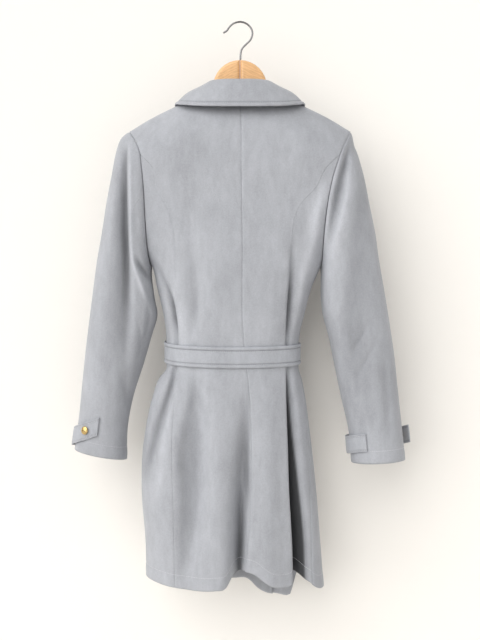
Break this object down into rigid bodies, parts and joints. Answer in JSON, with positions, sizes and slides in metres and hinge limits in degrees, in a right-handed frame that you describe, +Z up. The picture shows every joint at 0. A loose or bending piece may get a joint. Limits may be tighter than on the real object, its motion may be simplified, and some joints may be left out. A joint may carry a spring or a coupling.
{
  "type": "trench coat on a hanger",
  "caption": "Belted thigh-length trench coat in suede-finish cloth, hollow and open at neck, hem and cuffs, on a wooden hanger with a steel hook.",
  "frame": {"origin": "inner top of the hanger's hook, where it lies on a rail", "axes": "+Z up; the back of the coat faces -Y, so its front faces +Y; the wearer's right is +X"},
  "size_m": [0.6282, 0.1637, 1.0722],
  "materials": {
    "coat_cloth": "suede nap, matte",
    "gold_metal": "polished",
    "pale_wood": "satin clear varnish",
    "steel": "bright nickel"
  },
  "bodies": {
    "root": {"back_left": "coat_cloth", "back_right": "coat_cloth", "side_back_left": "coat_cloth", "side_back_right": "coat_cloth", "front_left": "coat_cloth", "front_right": "coat_cloth", "sleeve_upper_left": "coat_cloth", "sleeve_upper_right": "coat_cloth", "sleeve_under_left": "coat_cloth", "sleeve_under_right": "coat_cloth", "collar_stand": "coat_cloth", "collar_fall": "coat_cloth", "belt": "coat_cloth", "belt_knot": "coat_cloth", "belt_end_left": "coat_cloth", "belt_end_right": "coat_cloth", "cuff_strap_left": "coat_cloth", "cuff_strap_right": "coat_cloth", "cuff_button_left": "gold_metal", "cuff_button_right": "gold_metal", "hanger_half_left": "pale_wood", "hanger_half_right": "pale_wood", "hanger_hook": "steel"}
  },
  "joints": []
}
